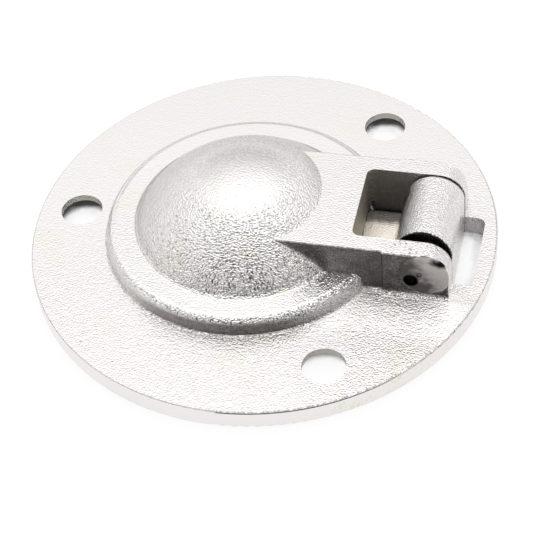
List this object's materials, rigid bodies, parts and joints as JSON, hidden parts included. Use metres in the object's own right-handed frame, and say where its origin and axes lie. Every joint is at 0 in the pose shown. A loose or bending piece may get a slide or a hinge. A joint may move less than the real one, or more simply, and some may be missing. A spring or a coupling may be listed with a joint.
{
  "type": "flush lift ring",
  "caption": "Round cast flush lift ring with a countersunk flange, domed finger bowl and a ring that swings out of its recess on a hinge pin.",
  "frame": {"origin": "centre of the flange's front face", "axes": "+Z out of the back, along the axis of the round flange; +X towards the hinge; Y along the hinge pin"},
  "size_m": [0.065, 0.065, 0.0138],
  "materials": {
    "cast_plate": "blasted stainless casting with a fine grain on the back, polished face",
    "cast_ring": "satin stainless casting, polished face",
    "ground_pin": "ground flush at both ends"
  },
  "bodies": {
    "plate": {"base_plate": "cast_plate", "hinge_pin": "ground_pin"},
    "ring": {"lift_ring": "cast_ring"}
  },
  "joints": [
    {"name": "ring_hinge", "type": "hinge", "parent": "plate", "child": "ring", "pos_m": [0.02345, 0, 0.00685], "axis": [0, -1, 0], "range_deg": [0, 90]}
  ]
}
